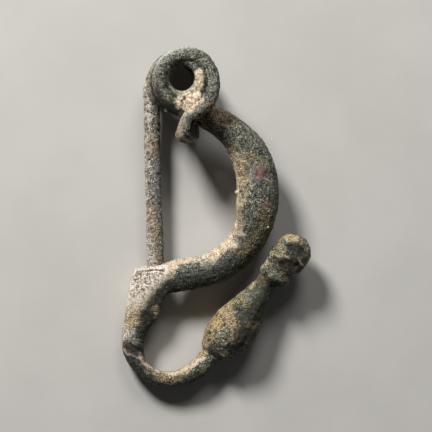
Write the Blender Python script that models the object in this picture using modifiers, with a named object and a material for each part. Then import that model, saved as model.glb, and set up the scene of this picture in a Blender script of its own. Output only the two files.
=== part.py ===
"""Sprung bronze bow brooch (fibula) of the early La Tene kind, about 42 mm long.

The brooch is one rod of bronze. Its head end is drawn out into a wire that makes a spring, two turns
on each side of the bow joined by a chord below, and runs on as the pin. Its foot end is beaten into
a catch for the pin, bends back in a loop and ends in a bulb, a collar and a knob.

It is drawn in the plane of the bow, in millimetres: X runs from the pin towards the bow's crown, Y from
the foot to the head, and Z is the depth, with zero in the middle of the bow. The finished solid is then
laid on its side, as the brooch lies when it is loose.
"""

import math

import bmesh
import bpy
from mathutils import Vector

MM = 0.001
UP = Vector((0.0, 0.0, 1.0))

# How the brooch lies on its spring, bulb and catch, in degrees about X and Y, and how far it is worn
# flat where it rests on them.
LIE_PITCH = 6.3
LIE_ROLL = -2.4
WORN = 0.15

SIDES = 20
COLOUR = (0.30, 0.31, 0.25, 1.0)
ROUGHNESS = 0.75
METALLIC = 0.35

# --- Body: bow, catch, foot loop and bulb, followed from the head down -------------------------------
RING_SPACING = 0.95
HEAD = (-0.20, 12.28)
HEAD_HEADING = -29.5

# A bend has a radius and a sweep in degrees, positive to the left. A straight has a length and no sweep.
BENDS = {
    "upper bow": (11.0, -77.0),
    "lower bow": (10.0, -66.0),
    "shoulder": (2.7, 0.0),
    "catch corner": (3.4, 64.0),
    "catch": (4.8, 0.0),
    "foot loop": (4.5, 96.0),
    "loop end": (5.7, 56.5),
    "rise": (3.0, 0.0),
    "neck": (2.0, 9.5),
    "terminal": (17.7, 0.0),
}

# Sections of the body: the bend, the share of its length, half the thickness seen from the side, half
# the depth, the depth of the middle, how square the section is (2 is an ellipse), and how far its middle
# leans to the left of the centre line.
SECTIONS = (
    ("upper bow", 0.00, 1.68, 1.68, 0.00, 2.0, -0.16),
    ("upper bow", 0.22, 1.94, 1.92, 0.00, 2.0, -0.04),
    ("upper bow", 0.45, 2.42, 2.20, 0.00, 2.0, 0.00),
    ("upper bow", 0.80, 2.68, 2.40, 0.00, 2.0, -0.10),
    ("lower bow", 0.20, 2.48, 2.30, 0.00, 2.0, 0.02),
    ("lower bow", 0.50, 2.12, 2.15, 0.00, 2.0, 0.14),
    ("lower bow", 0.80, 2.02, 1.95, 0.00, 2.0, -0.06),
    ("shoulder", 0.00, 2.06, 1.75, 0.00, 2.0, -0.26),
    ("shoulder", 0.60, 2.08, 1.35, 0.10, 2.1, -0.24),
    ("catch corner", 0.00, 1.98, 0.95, 0.35, 2.3, -0.20),
    ("catch corner", 0.20, 1.84, 0.55, 0.65, 2.8, -0.10),
    ("catch corner", 0.58, 2.56, 0.50, 0.60, 3.4, -0.54),
    ("catch corner", 0.72, 2.50, 0.50, 0.60, 3.4, -0.46),
    ("catch corner", 1.00, 2.28, 0.50, 0.60, 3.0, -0.16),
    ("catch", 0.30, 2.22, 0.52, 0.58, 2.6, 0.04),
    ("catch", 0.45, 2.10, 0.58, 0.50, 2.5, 0.04),
    ("catch", 0.55, 1.85, 0.66, 0.40, 2.4, -0.13),
    ("catch", 0.80, 1.60, 0.90, 0.20, 2.3, -0.15),
    ("foot loop", 0.00, 1.48, 1.15, 0.05, 2.2, -0.04),
    ("foot loop", 0.30, 1.30, 1.30, 0.00, 2.2, 0.05),
    ("foot loop", 0.65, 0.95, 1.40, 0.00, 2.3, 0.00),
    ("loop end", 0.10, 0.90, 1.40, 0.00, 2.3, 0.00),
    ("loop end", 0.80, 1.22, 1.35, 0.00, 2.2, 0.08),
    ("rise", 0.50, 1.30, 1.25, 0.00, 2.0, 0.20),
)

# Turned end of the foot, on a straight axis: distance along it, radius, how far the middle leans to
# the left of the axis, and how far the ring turns to the left of square, for the crooked first collar.
TERMINAL = (
    (-1.00, 1.50, 0.22, 4.0),
    (-0.95, 1.90, 0.15, 8.0),
    (-0.70, 2.28, 0.18, 9.0),
    (-0.20, 2.30, 0.06, 9.0),
    (0.12, 2.38, 0.20, 8.0),
    (0.42, 2.54, 0.22, 5.0),
    (0.85, 2.82, 0.14, 2.0),
    (1.70, 3.01, 0.06, 0.0),
    (2.60, 3.05, -0.04, 0.0),
    (3.60, 3.00, -0.04, 0.0),
    (4.60, 2.76, -0.04, 0.0),
    (5.60, 2.45, -0.02, 0.0),
    (6.60, 2.13, 0.00, 0.0),
    (7.60, 1.86, 0.02, 0.0),
    (8.60, 1.62, 0.05, 0.0),
    (9.40, 1.43, 0.12, 0.0),
    (10.05, 1.37, 0.15, 0.0),
    (10.50, 1.52, 0.10, 0.0),
    (10.90, 1.95, -0.05, 0.0),
    (11.30, 2.15, -0.10, 0.0),
    (11.90, 2.12, -0.08, 0.0),
    (12.35, 1.93, 0.05, 0.0),
    (12.75, 1.93, 0.05, 0.0),
    (13.10, 2.20, -0.08, 0.0),
    (13.50, 2.40, -0.20, 0.0),
    (14.30, 2.46, -0.28, 0.0),
    (15.10, 2.40, -0.32, 0.0),
    (15.90, 2.18, -0.34, 0.0),
    (16.55, 1.76, -0.34, 0.0),
    (17.00, 1.20, -0.32, 0.0),
    (17.25, 0.50, -0.30, 0.0),
)

# Catch: a thick back that folds round from the plate's outer edge, with a channel for the pin, and a
# lip that squares the upper corner of the plate.
CATCH_INSET = 0.62
CATCH_TOP = ((-9.15, -6.62), (-7.15, -6.45))
CATCH_END = ((-9.10, -14.00), (-7.90, -13.30))
CATCH_DEPTH = (-3.05, 0.45)
CATCH_ROUNDING = 0.45
CATCH_LIP = (
    (-6.60, -6.32),
    (-10.27, -6.34),
    (-10.53, -7.08),
    (-10.85, -8.42),
    (-9.40, -9.40),
    (-6.90, -8.20),
)
LIP_DEPTH = (0.15, 1.04)
LIP_ROUNDING = 0.20
CHANNEL_X = (-9.30, -6.15)
CHANNEL_Y = (-13.20, -5.20)
CHANNEL_DEPTH = (-2.60, 0.08)

# --- Spring: two turns on each side, each side followed from the chord inwards ---------------------------
# Each row gives the angle, the middle of the turn at no depth, the turn's radius, its depth and the
# wire's radius. The spring's axis slants by AXIS_SLANT with the depth.
AXIS_SLANT = (-0.14, 0.14)
WIRE_STEP = 15.0
NECK_STEPS = 6
TAIL_STEPS = 5
BEND_STEPS = 6
CHORD_STEPS = 3
PIN_HEAD_STEPS = 3
PIN_STEPS = 6
FRONT_TURNS = (
    (-45.0, -3.75, 16.90, 3.92, 4.34, 0.98),
    (-15.0, -3.75, 16.90, 3.42, 4.15, 0.98),
    (25.0, -3.75, 16.90, 3.15, 3.90, 0.98),
    (240.0, -3.75, 16.90, 3.15, 2.62, 0.98),
    (285.0, -4.00, 16.84, 3.02, 2.38, 0.98),
    (325.0, -4.28, 16.78, 3.10, 2.08, 0.98),
    (450.0, -4.28, 16.78, 2.96, 1.05, 1.05),
    (540.0, -4.28, 16.78, 2.70, 0.22, 1.42),
    (610.0, -4.28, 16.78, 2.60, -0.25, 1.54),
)
REAR_TURNS = (
    (-45.0, -4.82, 17.06, 3.35, -4.88, 0.98),
    (15.0, -4.82, 17.06, 2.98, -4.78, 0.98),
    (200.0, -4.82, 17.06, 2.98, -4.60, 0.98),
    (305.0, -4.60, 16.96, 3.10, -2.76, 0.98),
    (360.0, -4.60, 16.96, 3.10, -2.50, 0.98),
    (516.0, -4.60, 16.96, 3.10, -2.44, 0.98),
)

# Chord: the bar below the spring that joins its two halves, by way of a tail at each end.
CHORD_FRONT = (-4.35, 10.45, 2.60)
CHORD_REAR = (-2.54, 9.89, -3.40)
FRONT_TAIL = (-4.06, 12.26, 4.32)
REAR_TAIL = (-2.30, 11.65, -4.80)
TAIL_WAY = (-0.30, -1.00, 0.00)
CHORD_WIRE = 0.98

# Pin: from the rear half's last turn to its point in the catch.
PIN_TOP = (-7.80, 15.40, -2.38)
PIN_CATCH = (-7.52, -5.50, -1.26)
PIN_TIP = (-7.30, -12.60, -1.26)
PIN_RADIUS = 1.02
PIN_TIP_RADIUS = 0.35


def lerp(a, b, t):
    return a + (b - a) * t


def curve_through(rows, place):
    """Read a table of (place, value, ...) rows at any place, with a smooth curve that never overshoots."""
    if place <= rows[0][0]:
        return rows[0][1:]
    if place >= rows[-1][0]:
        return rows[-1][1:]
    i = max(k for k in range(len(rows) - 1) if rows[k][0] <= place)
    low, high = rows[i], rows[i + 1]
    span = high[0] - low[0]
    t = (place - low[0]) / span
    values = []
    for column in range(1, len(low)):
        rise = (high[column] - low[column]) / span
        slopes = []
        for k in (i, i + 1):
            if k in (0, len(rows) - 1):
                slopes.append(rise)
                continue
            before = (rows[k][column] - rows[k - 1][column]) / (rows[k][0] - rows[k - 1][0])
            after = (rows[k + 1][column] - rows[k][column]) / (rows[k + 1][0] - rows[k][0])
            level = before * after <= 0.0
            slopes.append(0.0 if level else 2.0 * before * after / (before + after))
        values.append(
            low[column] * (1 + 2 * t) * (1 - t) ** 2
            + high[column] * t * t * (3 - 2 * t)
            + slopes[0] * span * t * (1 - t) ** 2
            + slopes[1] * span * t * t * (t - 1)
        )
    return tuple(values)


# --- The body's centre line ---------------------------------------------------------------------------

def bend_length(name):
    size, sweep = BENDS[name]
    return size if sweep == 0.0 else size * math.radians(abs(sweep))


def bend_start(name):
    """Distance along the centre line at which a bend begins."""
    names = list(BENDS)
    return sum(bend_length(other) for other in names[: names.index(name)])


def centre_line(distance):
    """Point and heading (in radians) on the chain of bends, at a distance from the head."""
    x, y = HEAD
    heading = math.radians(HEAD_HEADING)
    for name, (size, sweep) in BENDS.items():
        length = min(distance, bend_length(name))
        if sweep == 0.0:
            x += length * math.cos(heading)
            y += length * math.sin(heading)
        else:
            side = math.copysign(1.0, sweep)
            turned = heading + side * length / size
            x += side * size * (math.sin(turned) - math.sin(heading))
            y -= side * size * (math.cos(turned) - math.cos(heading))
            heading = turned
        distance -= length
        if distance <= 0.0:
            break
    return Vector((x, y, 0.0)), heading


def ring_about(middle, left, up, across, deep, square=2.0):
    """Ring of points about a middle: an ellipse, or squarer, in the plane of two directions."""
    ring = []
    for i in range(SIDES):
        angle = 2.0 * math.pi * i / SIDES
        c, s = math.cos(angle), math.sin(angle)
        a = math.copysign(abs(c) ** (2.0 / square), c) * across
        d = math.copysign(abs(s) ** (2.0 / square), s) * deep
        ring.append(middle + left * a + up * d)
    return ring


def left_of(heading):
    return Vector((-math.sin(heading), math.cos(heading), 0.0))


def new_object(name, mesh, collection):
    thing = bpy.data.objects.new(name, mesh)
    collection.objects.link(thing)
    return thing


def loft(name, rings, collection):
    """Closed skin through rings that have the same number of points."""
    bm = bmesh.new()
    rows = [[bm.verts.new(point * MM) for point in ring] for ring in rings]
    for near, far in zip(rows, rows[1:]):
        for i in range(len(near)):
            j = (i + 1) % len(near)
            bm.faces.new((near[i], near[j], far[j], far[i]))
    bm.faces.new(rows[0])
    bm.faces.new(rows[-1])
    bmesh.ops.recalc_face_normals(bm, faces=bm.faces)
    mesh = bpy.data.meshes.new(name)
    bm.to_mesh(mesh)
    bm.free()
    return new_object(name, mesh, collection)


def bow_head():
    """Middle of the bow's first section, and the bow's heading there."""
    middle, heading = centre_line(0.0)
    lean = SECTIONS[0][-1]
    return middle + left_of(heading) * lean, heading


def section_rows():
    """The table of sections, placed by distance from the head."""
    return [(bend_start(name) + share * bend_length(name), *sizes) for name, share, *sizes in SECTIONS]


def body_rings():
    """Rings of the bow, catch and loop at even steps."""
    rows = section_rows()
    count = round(rows[-1][0] / RING_SPACING)
    rings = []
    for i in range(count + 1):
        distance = rows[-1][0] * i / count
        across, deep, lift, square, lean = curve_through(rows, distance)
        middle, heading = centre_line(distance)
        left = left_of(heading)
        rings.append(ring_about(middle + left * lean + UP * lift, left, UP, across, deep, square))
    return rings


def terminal_rings():
    """Rings of the turned end: collar, bulb, second collar and knob."""
    start, heading = centre_line(bend_start("terminal"))
    ahead = Vector((math.cos(heading), math.sin(heading), 0.0))
    rings = []
    for distance, radius, lean, turn in TERMINAL:
        middle = start + ahead * distance + left_of(heading) * lean
        rings.append(ring_about(middle, left_of(heading + math.radians(turn)), UP, radius, radius))
    return rings


# --- Spring and pin -----------------------------------------------------------------------------------

def coil_point(turns, angle):
    """Point on one half of the spring, and the wire's radius there."""
    x, y, size, depth, wire = curve_through(turns, angle)
    turn = math.radians(angle)
    x += AXIS_SLANT[0] * depth + size * math.cos(turn)
    y += AXIS_SLANT[1] * depth + size * math.sin(turn)
    return Vector((x, y, depth)), wire


def coil_heading(angle):
    """Direction of travel round the spring at an angle."""
    turn = math.radians(angle)
    return Vector((-math.sin(turn), math.cos(turn), 0.0))


def coil(turns):
    """Points and radii of the wire round one half of the spring, from the chord inwards."""
    first, last = turns[0][0], turns[-1][0]
    count = round((last - first) / WIRE_STEP)
    return [coil_point(turns, lerp(first, last, i / count)) for i in range(count + 1)]


def join(start, start_way, end, end_way, count):
    """Points of a smooth curve between two points, leaving and arriving along the given ways."""
    reach = (end - start).length
    points = []
    for i in range(1, count):
        t = i / count
        points.append(
            start * ((1 + 2 * t) * (1 - t) ** 2)
            + end * (t * t * (3 - 2 * t))
            + start_way.normalized() * (reach * t * (1 - t) ** 2)
            + end_way.normalized() * (reach * t * t * (t - 1))
        )
    return points


def wire_route():
    """Centre and radius of the wire all the way from the bow's head to the pin's point."""
    front, rear = coil(FRONT_TURNS), coil(REAR_TURNS)
    head, heading = bow_head()
    out_of_bow = -Vector((math.cos(heading), math.sin(heading), 0.0))
    coil_end, coil_end_radius = front[-1]
    neck = join(head, out_of_bow, coil_end, -coil_heading(FRONT_TURNS[-1][0]), NECK_STEPS)
    head_radius = SECTIONS[0][2]
    route = [
        (point, lerp(head_radius, coil_end_radius, i / NECK_STEPS)) for i, point in enumerate(neck, 1)
    ]
    route += reversed(front)

    chord_front, chord_rear = Vector(CHORD_FRONT), Vector(CHORD_REAR)
    front_tail, rear_tail = Vector(FRONT_TAIL), Vector(REAR_TAIL)
    across = chord_rear - chord_front
    down = Vector(TAIL_WAY)
    leave = coil_heading(FRONT_TURNS[0][0])
    below = join(front[0][0], -leave, front_tail, down, TAIL_STEPS) + [front_tail]
    below += join(front_tail, down, chord_front, across, BEND_STEPS)
    below += [chord_front.lerp(chord_rear, i / CHORD_STEPS) for i in range(CHORD_STEPS + 1)]
    below += join(chord_rear, across, rear_tail, -down, BEND_STEPS) + [rear_tail]
    below += join(rear_tail, -down, rear[0][0], leave, TAIL_STEPS)
    route += [(point, CHORD_WIRE) for point in below]
    route += rear

    top, catch, tip = Vector(PIN_TOP), Vector(PIN_CATCH), Vector(PIN_TIP)
    shaft = join(rear[-1][0], coil_heading(REAR_TURNS[-1][0]), top, catch - top, PIN_HEAD_STEPS)
    shaft += [top.lerp(catch, i / PIN_STEPS) for i in range(PIN_STEPS + 1)]
    route += [(point, PIN_RADIUS) for point in shaft]
    for i in range(1, PIN_STEPS + 1):
        t = i / PIN_STEPS
        route.append((catch.lerp(tip, t), lerp(PIN_RADIUS, PIN_TIP_RADIUS, t * t)))
    return route


def wire_rings():
    """Rings of the wire, from the bow's head to the pin's point, without twist."""
    route = wire_route()
    head, heading = bow_head()
    left = left_of(heading)
    places = [head] + [point for point, radius in route]
    places.append(2.0 * places[-1] - places[-2])
    rings = []
    for i, (point, radius) in enumerate(route):
        along = (places[i] - places[i + 2]).normalized()
        left = (left - along * left.dot(along)).normalized()
        rings.append(ring_about(point, left, along.cross(left), radius, radius))
    return rings


def prism(name, outline, depth, collection):
    """Flat outline given depth, from low to high."""
    low, high = depth
    bm = bmesh.new()
    base = bm.faces.new([bm.verts.new((x * MM, y * MM, low * MM)) for x, y in outline])
    top = bmesh.ops.extrude_face_region(bm, geom=[base])["geom"]
    rise = Vector((0.0, 0.0, (high - low) * MM))
    bmesh.ops.translate(bm, vec=rise, verts=[v for v in top if isinstance(v, bmesh.types.BMVert)])
    bmesh.ops.recalc_face_normals(bm, faces=bm.faces)
    mesh = bpy.data.meshes.new(name)
    bm.to_mesh(mesh)
    bm.free()
    return new_object(name, mesh, collection)


def plate_edge(rows, name, share):
    """Point just inside the outer edge of the catch plate."""
    distance = bend_start(name) + share * bend_length(name)
    across, _, _, _, lean = curve_through(rows, distance)
    middle, heading = centre_line(distance)
    return tuple((middle + left_of(heading) * (lean - across + CATCH_INSET)).xy)


def soften(block, width):
    """Round the block's edges in two steps."""
    bevel = block.modifiers.new("rounding", "BEVEL")
    bevel.width = width * MM
    bevel.segments = 2
    bevel.limit_method = "ANGLE"
    bevel.angle_limit = math.radians(40.0)


def catch_lip(cutters):
    """Upper corner of the catch plate."""
    lip = prism("catch_lip", CATCH_LIP, LIP_DEPTH, cutters)
    soften(lip, LIP_ROUNDING)
    return lip


def catch_back(cutters):
    """Back of the catch, as thick as the pin needs, with the channel cut out of it."""
    rows = section_rows()
    places = [("catch corner", share) for share in (0.58, 0.68, 0.80, 1.00)]
    places += [("catch", share) for share in (0.30, 0.60, 0.85)]
    outline = [plate_edge(rows, name, share) for name, share in places]
    outline += [*CATCH_END, *reversed(CATCH_TOP)]
    back = prism("catch_back", outline, CATCH_DEPTH, cutters)
    (left, right), (bottom, top) = CHANNEL_X, CHANNEL_Y
    corners = ((left, bottom), (right, bottom), (right, top), (left, top))
    soften(back, CATCH_ROUNDING)
    combine(back, "DIFFERENCE", prism("pin_channel", corners, CHANNEL_DEPTH, cutters))
    return back


def combine(body, operation, other):
    step = body.modifiers.new(other.name, "BOOLEAN")
    step.operation = operation
    step.solver = "EXACT"
    step.object = other
    other.parent = body
    other.hide_render = True
    other.display_type = "WIRE"


def bronze():
    material = bpy.data.materials.new("patinated_bronze")
    material.use_nodes = True
    shader = material.node_tree.nodes["Principled BSDF"]
    shader.inputs["Base Color"].default_value = COLOUR
    shader.inputs["Roughness"].default_value = ROUGHNESS
    shader.inputs["Metallic"].default_value = METALLIC
    return material


def lay_down(body, cutters):
    """Turn the brooch to its rest, flatten its lowest points and bring it to the origin."""
    body.rotation_euler = (math.radians(LIE_PITCH), math.radians(LIE_ROLL), 0.0)
    turn = body.rotation_euler.to_matrix()
    places = [turn @ vertex.co for vertex in body.data.vertices]
    low = [min(place[axis] for place in places) for axis in range(3)]
    high = [max(place[axis] for place in places) for axis in range(3)]
    body.location = (-(low[0] + high[0]) / 2, -(low[1] + high[1]) / 2, -low[2] - WORN * MM)
    ground = prism("ground", ((-20, -30), (20, -30), (20, 30), (-20, 30)), (-3.0, 0.0), cutters)
    bpy.context.view_layer.update()
    combine(body, "DIFFERENCE", ground)
    ground.matrix_parent_inverse = body.matrix_world.inverted()


def main():
    for old in list(bpy.data.objects):
        bpy.data.objects.remove(old)
    scene = bpy.context.scene
    parts = bpy.data.collections.new("fibula_brooch")
    cutters = bpy.data.collections.new("cutters")
    scene.collection.children.link(parts)
    scene.collection.children.link(cutters)
    rings = list(reversed(wire_rings())) + body_rings() + terminal_rings()
    body = loft("fibula", rings, parts)
    body.data.materials.append(bronze())
    body.data.shade_smooth()
    combine(body, "UNION", catch_back(cutters))
    combine(body, "UNION", catch_lip(cutters))
    lay_down(body, cutters)
    body.modifiers.new("triangles", "TRIANGULATE").min_vertices = 5


main()
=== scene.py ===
"""Looks of the fibula brooch: corroded bronze skin, soil, floor, light and camera.

Lengths are in millimetres in the brooch's own frame: X from the pin to the bow's crown, Y towards the
spring, Z towards the viewer. The skin is written back in metres in the row frame at the end. A place
"as seen" is given by how far it lies to the right of the middle of the view, and how far above it.
"""
import math

import bpy
import numpy as np
from mathutils import Euler, Matrix, Vector


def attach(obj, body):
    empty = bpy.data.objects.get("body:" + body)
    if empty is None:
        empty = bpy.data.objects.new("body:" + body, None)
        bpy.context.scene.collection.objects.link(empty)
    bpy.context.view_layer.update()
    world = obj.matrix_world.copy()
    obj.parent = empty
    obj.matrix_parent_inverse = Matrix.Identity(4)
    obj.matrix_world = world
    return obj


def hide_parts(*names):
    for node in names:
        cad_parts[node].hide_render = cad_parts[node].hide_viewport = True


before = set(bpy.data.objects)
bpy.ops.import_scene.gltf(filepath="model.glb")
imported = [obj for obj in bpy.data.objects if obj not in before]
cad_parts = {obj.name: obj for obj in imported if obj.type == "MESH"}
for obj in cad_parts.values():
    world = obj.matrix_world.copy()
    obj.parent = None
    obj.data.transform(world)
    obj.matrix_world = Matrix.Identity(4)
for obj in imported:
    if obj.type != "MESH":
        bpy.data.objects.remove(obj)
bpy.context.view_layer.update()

# How the brooch lies on the floor: its own frame in the row frame, in metres, and turned about X and Y
# in degrees.
LIE_PLACE = (-0.000125, 0.000227, 0.004455)
LIE_TURN = (6.3, -2.4)
LIE = Matrix.Translation(LIE_PLACE) @ Euler(
    (math.radians(LIE_TURN[0]), math.radians(LIE_TURN[1]), 0.0)
).to_matrix().to_4x4()
PER_METRE = 1000.0

# Camera: degrees to the left of and above the brooch's own Z, its distance, and the width that it sees.
VIEW_LEFT = 8.0
VIEW_UP = 8.0
VIEW_DISTANCE = 300.0
VIEW_WIDTH = 54.0
SENSOR_WIDTH = 36.0
# What the view keeps of a length across it, what it makes of a depth, and the way to the viewer.
SEEN_ACROSS = 0.99
SEEN_DEPTH = 0.139
TO_VIEWER = (-SEEN_DEPTH, SEEN_DEPTH, 0.98)

# Skin: the remesh's grid, the rounds that smooth its steps away, and the triangles that stay. Each round
# pulls the points together and then pushes them back a little more, so that the form doesn't shrink.
VOXEL = 0.10
SMOOTHING = 26
PULL = 0.5
PUSH = -0.52
SKIN_FACES = 192000

# Lights: the way to each from the brooch, its distance and size in metres, its power and its colour.
LIGHTS = {
    "key": ((-0.42, 0.72, 0.55), 0.40, 0.10, 2.05, (1.0, 0.985, 0.96)),
    "top": ((0.10, 0.80, 0.60), 0.45, 0.16, 0.55, (1.0, 0.99, 0.97)),
    "fill": ((0.5, -0.3, 0.9), 0.60, 0.50, 0.03, (0.95, 0.97, 1.0)),
}
WORLD_COLOUR = (1.0, 1.0, 1.0, 1.0)
WORLD_STRENGTH = 0.035
FLOOR_HALF = 1.2

# Large odd numbers that scramble the cells of the noise.
SCRAMBLE = (374761393, 668265263, 2246822519, 3266489917)
NOISE_GAIN = 1.7

# Corrosion pits: the least radius, how much the radius varies, and the largest one, as shares of a cell.
PIT_RADIUS = 0.25
PIT_SPREAD = 0.45
PIT_LARGEST = 0.7


# --- Fields -----------------------------------------------------------------


def step(low, high, value):
    """0 up to low, rising smoothly to 1 at high."""
    t = np.clip((value - low) / (high - low), 0.0, 1.0)
    return t * t * (3.0 - 2.0 * t)


def fade(low, high, value):
    """1 up to low, falling smoothly to 0 at high."""
    return 1.0 - step(low, high, value)


def hashed(cell, seed):
    """A random number from 0 to 1 for each whole-number cell."""
    x, y, z = (cell[..., axis].astype(np.uint32) * np.uint32(SCRAMBLE[axis]) for axis in range(3))
    h = x ^ y ^ z ^ np.uint32((seed * SCRAMBLE[3]) & 0xFFFFFFFF)
    h = (h ^ (h >> np.uint32(15))) * np.uint32(SCRAMBLE[2])
    h = (h ^ (h >> np.uint32(13))) * np.uint32(SCRAMBLE[3])
    h = h ^ (h >> np.uint32(16))
    return h.astype(np.float64) / 2.0**32


def noise(p, size, seed):
    """Smooth noise from about -1 to 1 with grains of the given size, on a grid turned by the seed."""
    turn = Euler((0.4 + seed, 1.1 + 2.0 * seed, 0.7 * seed)).to_matrix()
    q = p @ np.array(turn) / size
    base = np.floor(q)
    f = q - base
    s = f * f * f * (f * (f * 6.0 - 15.0) + 10.0)
    total = np.zeros(len(p))
    cell = base.astype(np.int64)
    for corner in range(8):
        off = np.array([corner & 1, corner >> 1 & 1, corner >> 2 & 1])
        at = cell + off
        weight = np.prod(np.where(off, s, 1.0 - s), axis=1)
        slope = 0.0
        for axis in range(3):
            lean = hashed(at, 3 * seed + axis) * 2.0 - 1.0
            slope = slope + lean * (f[:, axis] - off[axis])
        total += weight * slope
    return total * NOISE_GAIN


def rough(p, size, seed, octaves=3, keep=0.55):
    """Noise whose octaves halve in size and keep a share of the height."""
    total = np.zeros(len(p))
    height = 1.0
    for octave in range(octaves):
        total += height * noise(p, size, seed + 11 * octave)
        size *= 0.5
        height *= keep
    return total


def pits(p, size, seed, share):
    """Round hollows from 0 to 1 deep; share of the cells that have one."""
    q = p / size
    cell = np.floor(q).astype(np.int64)
    f = q - cell
    deepest = np.zeros(len(p))
    for i in (-1, 0, 1):
        for j in (-1, 0, 1):
            for k in (-1, 0, 1):
                at = cell + np.array([i, j, k])
                gap = np.zeros(len(p))
                for axis, off in enumerate((i, j, k)):
                    gap += (off + hashed(at, seed + axis) - f[:, axis]) ** 2
                radius = PIT_RADIUS + PIT_SPREAD * hashed(at, seed + 3)
                there = hashed(at, seed + 4) < share
                depth = np.clip(1.0 - gap / radius**2, 0.0, 1.0) * there
                deepest = np.maximum(deepest, depth * radius / PIT_LARGEST)
    return deepest


def spot(seen, x, y, radius, soft=0.5):
    """1 inside a round place as seen, 0 outside it; soft is how much of the radius its edge takes."""
    gap = np.hypot(seen[:, 0] - x, seen[:, 1] - y)
    return fade(radius * (1.0 - soft), radius * (1.0 + soft), gap)


def band(seen, start, end, half_width, soft=0.4):
    """1 near the line from start to end as seen, 0 away from it."""
    a = np.array(start)
    d = np.array(end) - a
    t = np.clip(((seen - a) @ d) / (d @ d), 0.0, 1.0)
    gap = np.linalg.norm(seen - (a + t[:, None] * d), axis=1)
    return fade(half_width * (1.0 - soft), half_width * (1.0 + soft), gap)


def at_spots(seen, rows):
    """The strongest of several spots, each a middle, a radius, a softness and a strength."""
    return np.maximum.reduce([strength * spot(seen, *place) for *place, strength in rows])


def at_bands(seen, rows):
    """The strongest of several bands, each a start, an end, a half width, a softness and a strength."""
    return np.maximum.reduce([strength * band(seen, *place) for *place, strength in rows])


def along_lines(seen, lines, soft=0.7):
    """The strongest of several soft lines, each a list of places, a half width and a strength."""
    found = np.zeros(len(seen))
    for way, half_width, strength in lines:
        for start, end in zip(way, way[1:]):
            found = np.maximum(found, strength * band(seen, start, end, half_width, soft))
    return found


# --- Mesh helpers -----------------------------------------------------------


def evaluated(obj):
    """A new mesh of the object with its modifiers applied."""
    graph = bpy.context.evaluated_depsgraph_get()
    return bpy.data.meshes.new_from_object(obj.evaluated_get(graph))


def points(mesh):
    co = np.empty(len(mesh.vertices) * 3, np.float32)
    mesh.vertices.foreach_get("co", co)
    return co.reshape(-1, 3).astype(np.float64)


def set_points(mesh, co):
    mesh.vertices.foreach_set("co", co.astype(np.float32).ravel())
    mesh.update()


def normals(mesh):
    n = np.empty(len(mesh.vertices) * 3, np.float32)
    mesh.vertex_normals.foreach_get("vector", n)
    return n.reshape(-1, 3).astype(np.float64)


def links(mesh):
    """Both ends of each edge, both ways round, and how many edges each point has."""
    pair = np.empty(len(mesh.edges) * 2, np.int32)
    mesh.edges.foreach_get("vertices", pair)
    pair = pair.reshape(-1, 2)
    a = np.concatenate([pair[:, 0], pair[:, 1]])
    b = np.concatenate([pair[:, 1], pair[:, 0]])
    return a, b, np.maximum(np.bincount(a, minlength=len(mesh.vertices)), 1)


def averaged(values, link):
    """Each point's vector as the mean of its neighbours'."""
    a, b, count = link
    columns = [np.bincount(a, values[b, k], len(count)) / count for k in range(values.shape[1])]
    return np.stack(columns, 1)


def smoothed(values, link, rounds, share=0.5):
    """Vectors drawn towards their neighbours' mean, over and over."""
    for _ in range(rounds):
        values = values + share * (averaged(values, link) - values)
    return values


def unit(v):
    return v / np.maximum(np.linalg.norm(v, axis=1), 1e-9)[:, None]


# --- Places on the brooch ---------------------------------------------------

# The spring's middle and the seam on it, the middle of the bow's curve, and the axis of the turned end.
COIL = (-3.70, 16.85)
SEAM_RADIUS = 4.38
BOW_MIDDLE = (-5.5, 3.3)
END_AXIS = ((0.75, -16.6), (9.5, -4.2))

# The side that holds soil; the side away from the light, darkened with painted shade that also keeps
# soil off; and the spring's upward side, lightened with a painted highlight.
SOIL_SIDE = (-0.80, 0.60, 0.0)
SHADED_SIDE = (0.78, -0.62, 0.0)
HIGHLIGHT_SIDE = (-0.45, 0.85, -0.25)

# Corrosion inside the spring's front turns, from the hole to the wire: the middle of the hole as seen,
# its radius, the radius that is reached inside the wire, and the depth of its middle at each angle.
FILL_HOLE = (-4.16, 16.96)
FILL_INNER = 1.54
FILL_OUTER = 3.15
FILL_HALF_DEPTH = 0.75
FILL_DEPTHS = (
    (0, 4.00),
    (25, 3.75),
    (90, 3.35),
    (160, 2.95),
    (235, 2.55),
    (262, 2.75),
    (290, 3.25),
    (330, 3.95),
    (360, 4.00),
)
# The crust's lump in the crease beside the tail: each end as seen with its depth, and its radius.
LUMP_ENDS = ((-1.75, 15.2, 4.25), (-4.05, 13.0, 3.85))
LUMP_RADIUS = 0.72

# How steeply a surface has to face the soil's side before it holds soil: a value for all parts, and what
# each part adds to it.
SOIL_LIMIT = 0.36
SOIL_LIMITS = {
    "bow": 0.14,
    "low bow": 0.08,
    "shoulder": -0.60,
    "head": 0.40,
    "loop": 0.04,
    "catch": -0.58,
    "foot": 0.34,
    "low left": 0.45,
    "coil": 1.5,
    "pin": -0.12,
    "end": 0.30,
    "slim end": 0.42,
    "upper bow": -0.30,
    "bare pin": 0.45,
}
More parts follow.
